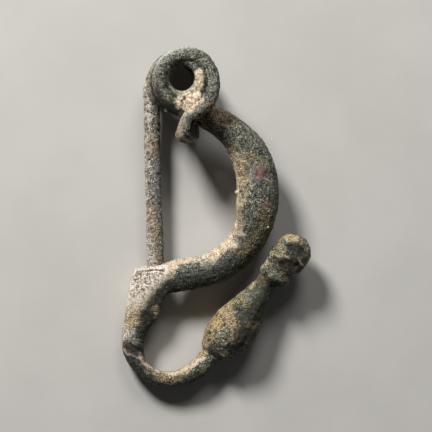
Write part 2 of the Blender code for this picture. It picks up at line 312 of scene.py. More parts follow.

# Darkening, partly dark patina and partly painted shade on sides turned from the light and below the
# spring and the bow's head; olive blooms; brown stains: each a line of places as seen, a half width and
# a strength.
DARK_PATINA_AND_SHADE = (
    # Spring, tail and bow.
    (((-7.4, 14.9), (-6.6, 13.9), (-5.2, 13.2)), 0.80, 1.0),
    (((-3.1, 11.9), (-2.6, 10.2)), 0.45, 0.9),
    (((-1.9, 11.9), (-0.4, 11.2)), 0.40, 0.5),
    (((-1.2, 11.0), (0.2, 9.9), (1.2, 8.6)), 0.50, 0.85),
    (((4.0, 0.6), (3.4, -1.4), (2.4, -3.0)), 0.50, 0.55),
    (((6.4, -0.2), (3.6, -4.9), (-1.0, -7.6), (-4.6, -8.1)), 1.25, 0.80),
    # Inner side of the catch, the foot's corner and the loop.
    (((-5.6, -8.7), (-6.9, -10.0), (-7.7, -11.3), (-8.4, -12.6), (-8.8, -14.4)), 1.25, 1.0),
    (((-11.4, -16.4), (-9.2, -16.2)), 0.55, 0.9),
    (((-10.9, -18.0), (-9.4, -18.4)), 0.60, 0.8),
    (((-10.9, -17.9), (-9.4, -19.5), (-7.2, -20.9)), 0.65, 1.0),
    (((-11.6, -17.6), (-9.6, -20.2), (-5.5, -21.4), (-2.2, -20.4)), 1.00, 1.0),
    # First collar and bulb.
    (((-0.6, -16.6), (1.6, -18.0)), 0.50, 0.9),
    (((2.8, -16.0), (4.8, -12.4), (7.0, -9.2)), 1.35, 0.95),
    (((3.2, -11.8), (4.4, -13.2)), 0.70, 0.6),
    (((5.2, -9.6), (3.9, -12.6)), 0.70, 0.55),
    (((4.9, -7.6), (5.9, -8.4)), 0.65, 0.85),
    # Second collar and knob.
    (((6.2, -6.9), (7.0, -7.6)), 0.60, 0.5),
    (((7.6, -6.9), (9.0, -8.2)), 0.50, 0.6),
    (((8.3, -7.0), (9.1, -8.2)), 0.60, 0.6),
    (((8.3, -6.0), (10.2, -6.7)), 0.75, 1.0),
    (((9.6, -5.4), (10.9, -5.6)), 0.55, 0.9),
    (((9.4, -4.3), (10.6, -4.6)), 0.85, 1.0),
)
OLIVE = (
    # Spring and bow.
    (((-8.0, 18.3), (-8.3, 16.8), (-7.8, 15.2)), 0.55, 0.9),
    (((-5.9, 14.6), (-5.2, 14.9)), 0.50, 0.8),
    (((-1.6, 11.9), (0.6, 12.0)), 0.70, 1.0),
    (((1.0, 12.0), (2.6, 11.4)), 0.40, 1.0),
    (((1.6, 8.3), (3.6, 7.4), (5.6, 6.6)), 0.80, 0.9),
    (((6.4, 0.4), (5.4, -2.6), (3.4, -4.6)), 1.00, 1.0),
    # Lobe of the catch, and the loop.
    (((-7.4, -11.5), (-7.1, -12.7)), 0.50, 1.0),
    (((-7.6, -20.0), (-6.0, -20.7), (-4.0, -20.6)), 0.50, 0.8),
    # Bulb and knob.
    (((3.0, -7.6), (1.4, -10.2), (-0.4, -13.0)), 0.80, 0.9),
    (((4.6, -8.0), (3.2, -10.4)), 0.50, 0.6),
    (((7.7, -3.8), (8.5, -4.6)), 0.60, 0.9),
    (((11.2, -3.4), (11.7, -4.4)), 0.50, 0.9),
)
RUST = (
    # Tail and the bow's head.
    (((-4.3, 11.9), (-4.7, 10.4)), 0.55, 0.8),
    (((-0.5, 13.2), (0.6, 12.3)), 0.80, 1.0),
    (((0.2, 13.4), (1.9, 12.8)), 0.32, 1.0),
    # Pin.
    (((-7.0, 12.6), (-6.8, 10.4)), 0.40, 0.9),
    (((-7.8, 10.0), (-7.7, 8.0)), 0.70, 0.8),
    (((-8.3, 1.8), (-8.0, -2.2)), 0.40, 0.9),
    (((-7.9, 1.6), (-7.5, -2.8)), 0.60, 0.9),
    (((-7.3, -3.0), (-7.1, -5.0)), 0.45, 0.8),
    # Loop, first collar and bulb.
    (((-8.3, -19.2), (-6.4, -20.2), (-4.6, -20.4)), 0.35, 0.7),
    (((-2.4, -17.2), (-1.0, -15.6)), 0.50, 1.0),
    (((0.4, -17.0), (2.0, -18.0)), 0.45, 0.8),
    (((1.7, -12.8), (2.4, -14.2), (2.2, -15.4)), 0.60, 1.0),
    (((3.9, -13.6), (5.1, -13.9)), 0.50, 0.9),
    # Second collar and knob.
    (((5.2, -7.2), (5.9, -8.4)), 0.50, 0.6),
    (((8.2, -7.6), (8.9, -8.4)), 0.45, 0.7),
    (((8.9, -6.0), (9.9, -6.6)), 0.55, 0.6),
)
# Pale grains and a blob stuck on the brooch: middle as seen and radius.
GRIT = ((6.56, 0.50, 0.13), (6.52, -1.56, 0.17), (2.62, 2.92, 0.24), (-6.30, 12.95, 0.28))
# Thin pale lips, and painted highlights on the tail's lower rim and on the bow's head, as lines like
# those above.
LIPS_AND_HIGHLIGHTS = (
    (((-11.6, -13.8), (-11.75, -15.6), (-11.5, -16.5)), 0.14, 0.7),
    (((-11.5, -16.4), (-11.2, -16.9), (-10.7, -17.15)), 0.12, 0.6),
    (((10.5, -5.8), (10.8, -6.4)), 0.16, 0.7),
    (((7.6, -5.1), (9.0, -5.4)), 0.13, 0.3),
    (((-4.55, 10.9), (-4.2, 9.8), (-3.2, 9.2), (-2.3, 9.6)), 0.14, 0.6),
    (((1.1, 11.3), (1.4, 11.1)), 0.16, 0.9),
    (((-5.4, -6.0), (-3.0, -5.3)), 0.10, 0.5),
)
# The thin line under the catch's top edge.
RIM = ((((-10.0, -7.05), (-9.4, -6.78), (-8.8, -6.62), (-7.6, -6.58), (-6.5, -6.72)), 0.09, 1.0),)
# Thin pale ridges along inner edges.
RIDGES = (
    (((-9.5, -17.1), (-8.9, -18.3), (-7.6, -19.1), (-5.1, -19.6)), 0.26, 0.9),
    (
        ((2.3, 6.6), (2.75, 4.0), (2.7, 1.4), (2.3, -0.6), (1.3, -2.5), (0.2, -3.7), (-1.4, -4.7)),
        0.13,
        0.9,
    ),
    (((-4.3, 12.7), (-4.6, 11.2), (-4.3, 9.8)), 0.30, 0.8),
    (((-4.2, -19.3), (-2.6, -18.6), (-1.5, -17.7)), 0.28, 0.8),
)
# Painted highlight on the left rim of the hole in the spring.
HOLE_RIM_HIGHLIGHT = ((((-5.6, 18.2), (-5.95, 17.2), (-5.75, 16.1), (-5.2, 15.4)), 0.16, 0.7),)
# Stretches whose skin is smooth.
SMOOTH = (
    (((5.7, -9.6), (5.4, -12.6)), 0.90, 1.0),
    (((3.4, -12.4), (4.8, -13.2)), 0.70, 0.9),
    (((5.4, -9.8), (5.6, -9.9)), 0.60, 1.0),
    (((-5.2, 15.2), (-4.2, 14.4)), 0.55, 0.8),
    (((-6.4, 16.4), (-5.8, 18.2)), 0.40, 0.5),
)
# Ragged scabs on the bulb.
SCABS = (
    (((1.7, -13.0), (2.3, -14.2), (2.2, -15.6)), 0.55, 1.0),
    (((3.9, -13.6), (5.1, -13.9)), 0.55, 0.9),
    (((0.3, -14.9), (1.0, -15.9)), 0.40, 0.7),
)

# Uneven skin: the height, the size and the seed of each layer of noise.
UNEVEN = ((0.055, 3.0, 31), (0.035, 1.3, 32), (0.034, 0.62, 33), (0.044, 0.32, 34))
END_UNEVEN = 0.085
END_WORN = 0.03

# Heights of what stands up from the skin, and depths of what is sunk in it.
SOIL_HEIGHT = 0.020
CRUST_HEIGHT = 0.08
RIDGE_HEIGHT = 0.03
SCAB_HEIGHT = 0.14
FINE_PIT_DEPTH = 0.08
COARSE_PIT_DEPTH = 0.10
SEAM_DEPTH = 0.26
RIM_DEPTH = 0.08
KNOB_HOLLOW_DEPTH = 0.36
CHORD_HOLLOW_DEPTH = 0.55
FLAT_BOW_EDGE_DEPTH = 0.36
PIN_SWELLING = 0.07
GRIT_SHARE = 0.9

# Single raised and sunken places of the skin, as seen: start, end, half width, softness and height. The
# first table holds for the side that looks up alone.
MOULDED = {
    "lip above the line on the catch": ((-10.0, -6.46), (-6.5, -6.42), 0.14, 0.4, 0.06),
    "groove across the foot's corner": ((-11.2, -15.9), (-9.6, -16.9), 0.50, 0.4, -0.14),
    "lip below that groove": ((-11.4, -16.7), (-10.4, -17.3), 0.16, 0.4, 0.07),
    "sunken patch of the bulb": ((3.3, -12.2), (4.6, -13.4), 0.8, 0.6, -0.12),
    "left end of the knob's brow": ((7.9, -3.9), (8.5, -4.5), 0.45, 0.7, 0.10),
    "ridge under the knob's hollow": ((7.4, -5.0), (9.0, -5.4), 0.22, 0.9, 0.09),
    "broken recess of the knob": ((8.6, -6.05), (10.2, -6.35), 0.50, 0.9, -0.30),
}
MOULDED_ALL_ROUND = {
    "brow of the knob": ((9.0, -2.9), (11.2, -3.3), 0.50, 0.7, 0.14),
    "edge of the knob's recess": ((10.5, -5.9), (10.8, -6.5), 0.18, 0.6, 0.14),
}
# The knob's hollow, the hollow behind the tail in the chord's bend, and the flatter bow edge.
KNOB_HOLLOW = ((9.5, -4.15), (10.5, -4.45), 0.75, 0.9)
CHORD_HOLLOW = ((-2.4, 11.2), (-2.5, 10.2), 0.50, 0.5)
FLAT_BOW_EDGE = (2.0, -0.9, 1.5, 0.7)

# Places whose plain form is softened before the relief goes on, as seen: middle, radius, softness and
# share.
SOFT_ROUNDS = 30
SOFTER_ROUNDS = 90
SOFTENED = ((-3.6, 14.6, 1.2, 0.5, 0.9),)
SOFTENED_MORE = (
    (-2.9, 13.9, 1.1, 0.6, 0.7),
    (-0.9, -16.3, 1.9, 0.4, 0.8),
    (8.4, -6.7, 1.3, 0.5, 0.8),
    (9.9, -4.9, 1.4, 0.5, 0.48),
)

# Cuprite and its halo: middle, radius, softness and strength. The pin's bluish stretch, and painted
# shade in the recesses of the foot and the knob and behind the tail: start, end, half width, softness
# and strength.
CUPRITE = ((5.5, 5.3, 0.82, 0.45, 1.0), (6.2, 1.5, 0.45, 0.5, 0.55), (7.3, 3.6, 0.40, 0.5, 0.35))
HALO = ((5.3, 5.3, 1.25, 0.35, 1.0),)
BLUISH_PIN = (((-7.2, 7.5), (-7.1, 1.0), 0.50, 0.7, 1.0),)
SHADE_IN_RECESSES = (
    ((-11.2, -15.9), (-9.4, -16.9), 0.6, 0.6, 1.0),
    ((9.5, -4.4), (10.6, -4.6), 0.7, 0.8, 0.6),
    ((8.7, -6.1), (10.1, -6.5), 0.6, 0.8, 0.8),
)
SHADE_BEHIND_TAIL = (((-2.4, 11.2), (-2.5, 10.3), 0.6, 0.5, 0.9),)


def seen_side(p):
    """Places as the viewer sees them, to the right of and above the middle of the view."""
    right = SEEN_ACROSS * p[:, 0] + SEEN_DEPTH * p[:, 2]
    up = SEEN_ACROSS * p[:, 1] - SEEN_DEPTH * p[:, 2]
    return np.stack([right, up], 1)


def own_place(x, y, depth):
    """A place in the brooch's own frame, from where it is seen and its depth."""
    return ((x - SEEN_DEPTH * depth) / SEEN_ACROSS, (y + SEEN_DEPTH * depth) / SEEN_ACROSS, depth)


def regions(p):
    """How far each point belongs to each part, and its distance along the axis of the turned end."""
    s = seen_side(p)
    x, y = s[:, 0], s[:, 1]
    r = {}
    r["coil"] = fade(4.5, 5.3, np.hypot(x - COIL[0], y - COIL[1]))
    r["pin"] = fade(-6.6, -6.2, x) * step(-6.2, -5.8, y) * (1.0 - r["coil"])
    r["catch"] = fade(-6.4, -5.4, x) * fade(-6.2, -5.8, y) * step(-17.0, -15.5, y)
    a = np.array(END_AXIS[0])
    d = np.array(END_AXIS[1]) - a
    length = np.linalg.norm(d)
    r["along"] = (s - a) @ d / length
    across = np.abs((s - a) @ np.array([-d[1], d[0]]) / length)
    r["end"] = step(-1.4, -0.6, r["along"]) * fade(3.6, 4.2, across)
    r["loop"] = fade(-15.5, -14.0, y) * (1.0 - r["end"]) * (1.0 - r["catch"])
    r["bow"] = np.clip(1.0 - r["coil"] - r["pin"] - r["catch"] - r["end"] - r["loop"], 0.0, 1.0)
    return r


def wander(p):
    """Uneven shifts that make the edges of painted places ragged."""
    shifts = [noise(p, 0.9, seed) + 0.6 * noise(p, 0.35, seed + 2) for seed in (92, 93)]
    return np.stack(shifts, 1)


def soil_shares(s, r):
    """How far each point belongs to each stretch that has its own limit for soil."""
    x, y = s[:, 0], s[:, 1]
    return {
        "bow": r["bow"],
        "low bow": r["bow"] * fade(-5.5, -2.5, y),
        "shoulder": r["bow"] * fade(-5.4, -4.4, x) * fade(-5.0, -4.0, y),
        "head": r["bow"] * step(7.0, 10.0, y),
        "loop": r["loop"],
        "catch": r["catch"],
        "foot": r["catch"] * fade(-14.5, -12.0, y),
        "low left": r["loop"] * fade(-9.0, -7.5, x),
        "coil": r["coil"],
        "pin": r["pin"],
        "end": r["end"],
        "slim end": r["end"] * step(2.5, 7.5, r["along"]) - 1.6 * spot(s, 9.9, -2.9, 0.9, 0.6),
        "upper bow": r["bow"] * step(3.5, 6.0, y) * fade(8.8, 9.8, y),
        "bare pin": r["pin"] * band(s, (-8.1, 7.2), (-7.8, 2.6), 1.0, 0.5),
    }


def soil_field(p, n):
    """Tan soil on the surfaces that look up and left, patchy at its edges."""
    s = seen_side(p)
    r = regions(p)
    facing = n @ np.array(SOIL_SIDE)
    limit = SOIL_LIMIT
    for name, share in soil_shares(s, r).items():
        limit = limit + SOIL_LIMITS[name] * share
    stretched = p * np.array([1.0, 0.45, 1.0])
    patchy = 0.20 * noise(p, 1.9, 3) + 0.20 * noise(p, 0.8, 4) + 0.20 * noise(p, 0.28, 5)
    patchy = patchy * (1.0 + 0.5 * r["end"]) + 0.65 * r["pin"] * noise(stretched, 0.40, 6)
    soil = step(-0.18, 0.20, facing + patchy - limit)
    return np.maximum(soil, along_lines(s + 0.12 * wander(p), RIDGES) * step(-0.1, 0.2, n[:, 2]))


def streak_field(p):
    """Streaks from about -1 to 1 that run along the spring's turns, the bow and the pin."""
    s = seen_side(p)
    r = regions(p)
    total = 0.9 * r["pin"] * noise(p * np.array([1.0, 0.22, 1.0]), 0.26, 61)
    for middle, share, seed in ((COIL, r["coil"], 62), (BOW_MIDDLE, r["bow"], 63)):
        away = s - np.array(middle)
        radius = np.hypot(away[:, 0], away[:, 1])
        turn = np.arctan2(away[:, 1], away[:, 0])
        around = np.stack([radius, turn * radius.mean() * 0.2, p[:, 2] * 0.6], 1)
        total = total + share * noise(around, 0.30, seed)
    return total


def seam_field(p):
    """The dark seam between the spring's first two turns, on the left and in front of the back turns."""
    away = seen_side(p) - np.array(COIL)
    gap = np.abs(np.hypot(away[:, 0], away[:, 1]) - SEAM_RADIUS)
    angle = np.degrees(np.arctan2(away[:, 1], away[:, 0])) % 360.0
    reach = step(95.0, 125.0, angle) * fade(228.0, 240.0, angle) * step(-2.8, -2.2, p[:, 2])
    return fade(0.09, 0.24, gap) * reach


def crust_field(p, n):
    """Thick pale crust left on the lower right of the spring's front turn."""
    s = seen_side(p)
    ragged = np.stack([noise(p, 0.5, 21), noise(p, 0.5, 22)], 1) * 0.14
    ragged = ragged + np.stack([noise(p, 0.24, 23), noise(p, 0.24, 24)], 1) * 0.12
    t = s + ragged
    upper = band(t, (-2.10, 17.3), (-2.10, 15.4), 0.66, 0.25)
    lower = band(t, (-2.3, 15.0), (-4.0, 14.1), 0.95, 0.35)
    tail = 0.95 * band(t, (-2.05, 14.7), (-3.4, 13.3), 0.70, 0.5)
    edge = fade(-1.55, -1.40, t[:, 0])
    front = step(0.15, 0.45, n[:, 2])
    return np.maximum(np.maximum(upper, lower), tail) * edge * front


def relief(p, n):
    """Height of the corroded skin above the plain form."""
    s = seen_side(p)
    r = regions(p)
    h = sum(height * noise(p, size, seed) for height, size, seed in UNEVEN)
    h += soil_field(p, n) * SOIL_HEIGHT * (1.0 + noise(p, 0.42, 35))
    h += crust_field(p, n) * (CRUST_HEIGHT + 0.035 * noise(p, 0.4, 36))
    # Corrosion pits: fine ones all over, more of them on the pin and fewer on the catch.
    h -= FINE_PIT_DEPTH * pits(p, 0.40, 41, 0.45) * (0.6 + 0.4 * r["pin"] - 0.2 * r["catch"])
    h -= COARSE_PIT_DEPTH * pits(p, 0.85, 51, 0.30) * (1.0 - 0.7 * r["catch"])
    seam = seam_field(p) * step(0.0, 0.3, n[:, 2] + 0.2)
    h -= SEAM_DEPTH * seam * (1.0 + 0.5 * noise(p, 0.8, 37))
    # The bow's inner edge is a little flatter low down, and soil stands up in ridges along inner edges.
    h -= FLAT_BOW_EDGE_DEPTH * spot(s, *FLAT_BOW_EDGE) * step(0.0, 0.8, -n[:, 0])
    h += RIDGE_HEIGHT * along_lines(s, RIDGES)
    # The pin is a little stouter towards the catch.
    h += PIN_SWELLING * r["pin"] * fade(-3.0, 0.5, s[:, 1])
    # Uneven, eroded bulb and knob.
    h += r["end"] * (END_UNEVEN * rough(p, 1.5, 71) - END_WORN)
    front = step(0.1, 0.4, n[:, 2])
    for start, end, half_width, soft, height in MOULDED.values():
        h += height * band(s, start, end, half_width, soft) * front
    for start, end, half_width, soft, height in MOULDED_ALL_ROUND.values():
        h += height * band(s, start, end, half_width, soft)
    h -= KNOB_HOLLOW_DEPTH * band(s, *KNOB_HOLLOW) * front * (0.9 + 0.25 * noise(p, 0.9, 81))
    h -= CHORD_HOLLOW_DEPTH * band(s, *CHORD_HOLLOW) * step(-0.2, 0.2, n[:, 2])
    # The line under the catch's top edge.
    rim = along_lines(s + 0.04 * wander(p), RIM, 0.8)
    h -= RIM_DEPTH * rim * front * (0.8 + 0.6 * noise(p, 0.5, 39))
    # Ragged scabs on the bulb.
    scab = along_lines(s + 0.20 * wander(p), SCABS, 0.5) * front
    h += SCAB_HEIGHT * scab * (1.0 + 0.5 * noise(p, 0.6, 82))
    # Grains stuck on the bow, and a blob at the lower left of the spring.
    in_view = step(-0.1, 0.15, n @ np.array(TO_VIEWER))
    for x, y, radius in GRIT:
        h += GRIT_SHARE * radius * spot(s, x, y, radius, 0.5) * in_view
    return h


# --- The skin ---------------------------------------------------------------


def fill_ring(sides=60, tube_sides=16):
    """Points and faces of the corrosion that fills the inside of the spring's front turns."""
    angles, depths = zip(*FILL_DEPTHS)
    hole, wire = np.array(FILL_HOLE), np.array(COIL)
    co, faces = [], []
    for i in range(sides):
        turn = 2.0 * math.pi * i / sides
        out = np.array((math.cos(turn), math.sin(turn)))
        inner = hole + FILL_INNER * out
        outer = wire + FILL_OUTER * out
        depth = np.interp(math.degrees(turn), angles, depths)
        this, following = i * tube_sides, (i + 1) % sides * tube_sides
        for j in range(tube_sides):
            angle = 2.0 * math.pi * j / tube_sides
            x, y = (inner + outer) / 2.0 + (outer - inner) / 2.0 * math.cos(angle)
            co.append(own_place(x, y, depth + FILL_HALF_DEPTH * math.sin(angle)))
            m = (j + 1) % tube_sides
            faces.append((this + j, following + j, following + m, this + m))
    return co, faces


def fill_lump(rings=12, sides=16):
    """Points and faces of the long lump of crust in the crease beside the spring's tail."""
    start, end = (np.array(own_place(*place)) for place in LUMP_ENDS)
    middle, along = (start + end) / 2.0, (end - start) / 2.0
    up = np.array((0.0, 0.0, 1.0))
    across = np.cross(along / np.linalg.norm(along), up)
    co, faces = [], []
    for i in range(rings):
        polar = math.pi * (i + 0.5) / rings
        for j in range(sides):
            turn = 2.0 * math.pi * j / sides
            out = math.cos(turn) * across + math.sin(turn) * up
            co.append(tuple(middle - math.cos(polar) * along + math.sin(polar) * LUMP_RADIUS * out))
            if i + 1 < rings:
                k = (j + 1) % sides
                faces.append((i * sides + j, i * sides + k, (i + 1) * sides + k, (i + 1) * sides + j))
    faces.append(tuple(reversed(range(sides))))
    faces.append(tuple(range((rings - 1) * sides, rings * sides)))
    return co, faces


def in_row_frame(co):
    """Places in metres in the row frame, from millimetres in the own frame."""
    lie = np.array(LIE)
    return co @ lie[:3, :3].T / PER_METRE + lie[:3, 3]


def on_floor(co):
    """Keeps every point above the floor, worn flat where it rests."""
    sunk = np.maximum(0.0, -in_row_frame(co)[:, 2]) * PER_METRE
    return co + sunk[:, None] * np.array(LIE)[2, :3]


def make_skin(node):
    """The solid's surface with its fill and crust, remeshed as one skin with its corroded relief."""
    to_own = np.array(LIE.inverted())
    plain = node.data
    co = (points(plain) @ to_own[:3, :3].T + to_own[:3, 3]) * PER_METRE
    faces = [tuple(face.vertices) for face in plain.polygons]
    for fill, fill_faces in (fill_ring(), fill_lump()):
        faces += [tuple(len(co) + k for k in face) for face in fill_faces]
        co = np.concatenate([co, fill])
    mesh = bpy.data.meshes.new("fibula_skin")
    mesh.from_pydata(co.tolist(), [], faces)
    obj = bpy.data.objects.new("fibula_skin", mesh)
    bpy.context.scene.collection.objects.link(obj)
    voxel = obj.modifiers.new("voxel", "REMESH")
    voxel.mode = "VOXEL"
    voxel.voxel_size = VOXEL
    fine = evaluated(obj)
    obj.modifiers.clear()
    obj.data = fine
    link = links(fine)
    co = points(fine)
    for _ in range(SMOOTHING):
        co = smoothed(co, link, 1, PULL)
        co = smoothed(co, link, 1, PUSH)
    seen = seen_side(co)
    soft = smoothed(co, link, SOFT_ROUNDS)
    softer = smoothed(soft, link, SOFTER_ROUNDS)
    co = co + at_spots(seen, SOFTENED)[:, None] * (soft - co)
    co = co + at_spots(seen, SOFTENED_MORE)[:, None] * (softer - co)
    set_points(fine, co)
    form = unit(smoothed(normals(fine), link, 6))
    co = co + form * relief(co, form)[:, None]
    co = smoothed(co, link, 1, 0.35)
    set_points(fine, on_floor(co))
    thin = obj.modifiers.new("thin", "DECIMATE")
    thin.ratio = SKIN_FACES / (2.0 * len(fine.polygons))
    skin = evaluated(obj)
    obj.modifiers.clear()
    obj.data = skin
    return obj


def paint(mesh):
    """Writes the fields that the patina reads."""
    co = points(mesh)
    link = links(mesh)
    near = smoothed(co, link, 4)
    wide = smoothed(co, link, 30)
    n = normals(mesh)
    form = unit(smoothed(n, link, 14))
    fine_hollow = np.einsum("ij,ij->i", near - co, n)
    wide_hollow = np.einsum("ij,ij->i", wide - near, form)
    s = seen_side(co)
    y = s[:, 1]
    r = regions(co)
    shift = wander(co)
    front = step(0.0, 0.3, form[:, 2])
    # Painted shade: surfaces that face away from the light are darkened, with ragged edges.
    painted_side_shade = step(0.05, 0.85, form @ np.array(SHADED_SIDE) + 0.25 * noise(co, 1.5, 96))
    olive = along_lines(s + 0.25 * shift, OLIVE)
    # Darkening: dark patina and painted shade in the listed places, with the painted shade of the side
    # away from the light, less where olive blooms.
    deep = np.maximum(along_lines(s + 0.25 * shift, DARK_PATINA_AND_SHADE, 0.5), 0.55 * painted_side_shade) * (1.0 - 0.5 * olive)
    # Soil is kept off where that darkening lies.
    under_patina_and_shade = 0.97 * deep * front * (1.0 - along_lines(s, RIDGES))
    second_collar = step(9.6, 10.6, r["along"]) * fade(13.0, 13.8, r["along"])
    # Pale lips, with painted highlights on the tail's lower rim and on the bow's head.
    lips_and_highlights = along_lines(s + 0.15 * shift, LIPS_AND_HIGHLIGHTS)
    grains = np.maximum.reduce([spot(s, *place, 0.3) for place in GRIT])
    # Painted highlights on the spring: its upward sides and the left rim of its hole.
    painted_top_highlight = step(0.35, 0.85, form @ np.array(HIGHLIGHT_SIDE)) * step(-0.5, 0.5, co[:, 2])
    hole_rim_highlight = along_lines(s + 0.10 * shift, HOLE_RIM_HIGHLIGHT) * front
    # Painted shade in the foot's groove, the knob's hollows, the seam between the spring's turns and the
    # line under the catch's top edge.
    painted_recess_shade = np.maximum(at_bands(s, SHADE_IN_RECESSES), 0.9 * seam_field(co))
    painted_recess_shade = np.maximum(painted_recess_shade, 0.55 * along_lines(s + 0.04 * shift, RIM, 0.8))
    low_bow = r["bow"] * fade(-3.0, 2.0, y)
    fields = {
        "soil": soil_field(co, form) * (1.0 - under_patina_and_shade),
        "crust": crust_field(co, form),
        # Painted shade in pits and creases.
        "hollow": step(0.004, 0.045, fine_hollow + 0.5 * wide_hollow),
        # Painted highlight on sharp crests, less where the darkening is.
        "painted_crest_highlight": step(0.004, 0.040, -fine_hollow) * (1.0 - 0.8 * deep),
        "pin": r["pin"],
        "pitted": r["catch"] * step(-13.0, -8.5, y) * front * (1.0 - deep),
        "pale": np.maximum(r["catch"] * step(-12.0, -8.5, y), low_bow),
        "coil": r["coil"],
        "end": r["end"] * (1.0 - second_collar),
        # Dark patina, and painted shade on the side away from the light and in shadowed places.
        "deep": deep,
        # Pale grains and lips, with painted highlights on the tail's lower rim and on the bow's head.
        "grit_and_highlights": np.maximum(grains, lips_and_highlights) * front,
        # Painted highlight on the spring's top and on the rim of its hole.
        "painted_spring_highlight": r["coil"] * np.maximum(painted_top_highlight, hole_rim_highlight),
        "streak": 0.5 + 0.5 * streak_field(co),
        "smooth": along_lines(s + 0.20 * shift, SMOOTH) * front,
        "lit": along_lines(s + 0.12 * shift, RIDGES) * step(-0.1, 0.2, form[:, 2]),
        "ash": r["catch"] * fade(-14.6, -13.2, y),
        "olive": olive,
        "rust": along_lines(s + 0.20 * shift, RUST) * (1.0 - 0.6 * deep),
        "red": at_spots(s, CUPRITE) * front,
        "halo": np.maximum(at_spots(s, HALO), at_bands(s, BLUISH_PIN)) * front,
        # Painted shade in recesses, and behind the tail in the chord's bend.
        "dark": np.maximum(painted_recess_shade * front, at_bands(s, SHADE_BEHIND_TAIL)),
    }
    for name, values in fields.items():
        layer = mesh.attributes.new(name, "FLOAT", "POINT")
        layer.data.foreach_set("value", np.clip(values, 0.0, 1.0).astype(np.float32))


# --- Material ---------------------------------------------------------------

# Colours as a screen shows them, from 0 to 255. Each pair is the dark and the pale end of one mixture.
PAIRS = {
    "patina": ((42, 45, 36), (94, 97, 82)),
    "olive": ((60, 54, 32), (176, 160, 108)),
    "soil": ((132, 108, 74), (186, 164, 126)),
    "soil of the end": ((112, 88, 48), (178, 150, 96)),
    "pale soil": ((180, 160, 130), (218, 202, 174)),
    "soil of the pin": ((104, 94, 84), (204, 194, 182)),
    "ash": ((118, 112, 102), (204, 198, 186)),
    "crust": ((170, 146, 116), (234, 218, 192)),
    "white": ((226, 210, 190), (250, 242, 230)),
    "cuprite": ((98, 60, 54), (150, 104, 94)),
    "rust": ((84, 66, 48), (172, 146, 116)),
    "floor": ((190, 188, 184), (196, 194, 190)),
}
COLOURS = {
    "dark patch": (34, 37, 31),
    "speck": (192, 192, 174),
    "fleck": (16, 18, 13),
    "pale streak": (150, 153, 142),
    "dark streak": (26, 28, 23),
    "painted_spring_highlight": (196, 198, 188),
    "deep": (23, 25, 17),
    "streak in soil": (108, 88, 62),
    "lit ridge": (212, 194, 168),
    "fleck in soil": (70, 56, 38),
    "speck in soil": (240, 228, 206),
    "brown mark": (104, 82, 64),
    "fleck on the pin": (34, 29, 25),
    "speck on the pin": (238, 232, 222),
    "grit_and_highlights": (204, 184, 164),
    "halo": (112, 116, 122),
    "painted shade in recesses": (30, 28, 24),
    "painted_crest_highlight": (206, 204, 192),
    "painted shade in hollows": (22, 19, 15),
}
SCREEN_GAMMA = 2.2


def linear(colour):
    """A screen colour as the shader takes it."""
    return tuple((c / 255.0) ** SCREEN_GAMMA for c in colour) + (1.0,)


class Nodes:
    """Short calls for building a material's node tree."""

    def __init__(self, name):
        self.material = bpy.data.materials.new(name)
        self.material.use_nodes = True
        self.tree = self.material.node_tree
        self.shader = self.tree.nodes["Principled BSDF"]
        self.place = self.tree.nodes.new("ShaderNodeTexCoord").outputs["Object"]

    def link(self, source, socket):
        if isinstance(source, bpy.types.NodeSocket):
            self.tree.links.new(source, socket)
        else:
            socket.default_value = source

    def field(self, name, strength=None):
        """A field of the mesh, or a share of it."""
        node = self.tree.nodes.new("ShaderNodeAttribute")
        node.attribute_name = name
        field = node.outputs["Fac"]
        return field if strength is None else self.times(field, strength)

    def grain(self, size, detail=3.0):
        """Noise with grains of the given size in millimetres."""
        node = self.tree.nodes.new("ShaderNodeTexNoise")
        node.inputs["Scale"].default_value = PER_METRE / size
        node.inputs["Detail"].default_value = detail
        node.inputs["Roughness"].default_value = 0.6
        self.link(self.place, node.inputs["Vector"])
        return node.outputs["Fac"]

    def span(self, value, low, high, to_low=0.0, to_high=1.0):
        """A value carried smoothly from one range to another."""
        node = self.tree.nodes.new("ShaderNodeMapRange")
        node.interpolation_type = "SMOOTHSTEP"
        self.link(value, node.inputs["Value"])
        node.inputs["From Min"].default_value = low
        node.inputs["From Max"].default_value = high
        node.inputs["To Min"].default_value = to_low
        node.inputs["To Max"].default_value = to_high
        return node.outputs["Result"]

    def math(self, kind, a, b):
        node = self.tree.nodes.new("ShaderNodeMath")
        node.operation = kind
        node.use_clamp = True
        self.link(a, node.inputs[0])
        self.link(b, node.inputs[1])
        return node.outputs[0]

    def times(self, a, b):
        return self.math("MULTIPLY", a, b)

    def rest(self, a):
        """What a value leaves of 1."""
        return self.math("SUBTRACT", 1.0, a)

    def mix(self, share, a, b):
        node = self.tree.nodes.new("ShaderNodeMix")
        node.data_type = "RGBA"
        self.link(share, node.inputs["Factor"])
        self.link(a, node.inputs[6])
        self.link(b, node.inputs[7])
        return node.outputs[2]

    def pair(self, share, name):
        """A mixture of a pair's dark and pale colours."""
        dark, pale = PAIRS[name]
        return self.mix(share, linear(dark), linear(pale))

    def over(self, base, share, name):
        """A colour laid over the base by a share."""
        return self.mix(share, base, linear(COLOURS[name]))


